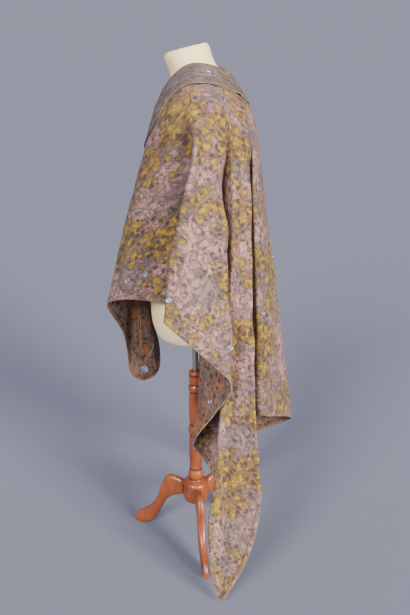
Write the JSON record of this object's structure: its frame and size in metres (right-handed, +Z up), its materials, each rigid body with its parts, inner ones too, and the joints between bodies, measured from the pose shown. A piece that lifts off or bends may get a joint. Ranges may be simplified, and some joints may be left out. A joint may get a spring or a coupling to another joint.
{
  "type": "poncho on a dress form stand",
  "caption": "Triangular tent-cloth poncho with a flapped head slit, buttons and a corner eyelet, draped in deep folds over a limbless dress form on a turned wooden tripod stand.",
  "frame": {"origin": "on the floor, under the middle of the whole part's box", "axes": "+Z up, -Y the way the form faces, +X to the form's left side"},
  "size_m": [0.6094, 0.5213, 1.4095],
  "materials": {
    "cloth": "matt printed cotton, close weave",
    "form_cover": "matt stretched cream cotton",
    "wood": "red-brown stain under gloss varnish",
    "steel": "bright drawn rod",
    "grey_metal": "dull grey, worn"
  },
  "bodies": {
    "root": {"panel_left": "cloth", "panel_right": "cloth", "flap_left": "cloth", "flap_right": "cloth", "patch_a": "cloth", "patch_b": "cloth", "patch_c": "cloth", "eyelet_outer": "grey_metal", "eyelet_inner": "grey_metal", "button_front_a": "grey_metal", "button_front_b": "grey_metal", "button_side_front": "grey_metal", "button_side_back": "grey_metal", "button_tail": "grey_metal", "button_back": "grey_metal", "button_right_front_a": "grey_metal", "button_right_front_b": "grey_metal", "button_right_side": "grey_metal", "button_right_tail": "grey_metal", "button_right_back": "grey_metal", "button_flap": "grey_metal", "form": "form_cover", "rod": "steel", "column": "wood", "leg_near": "wood", "leg_front": "wood", "leg_back": "wood"}
  },
  "joints": []
}
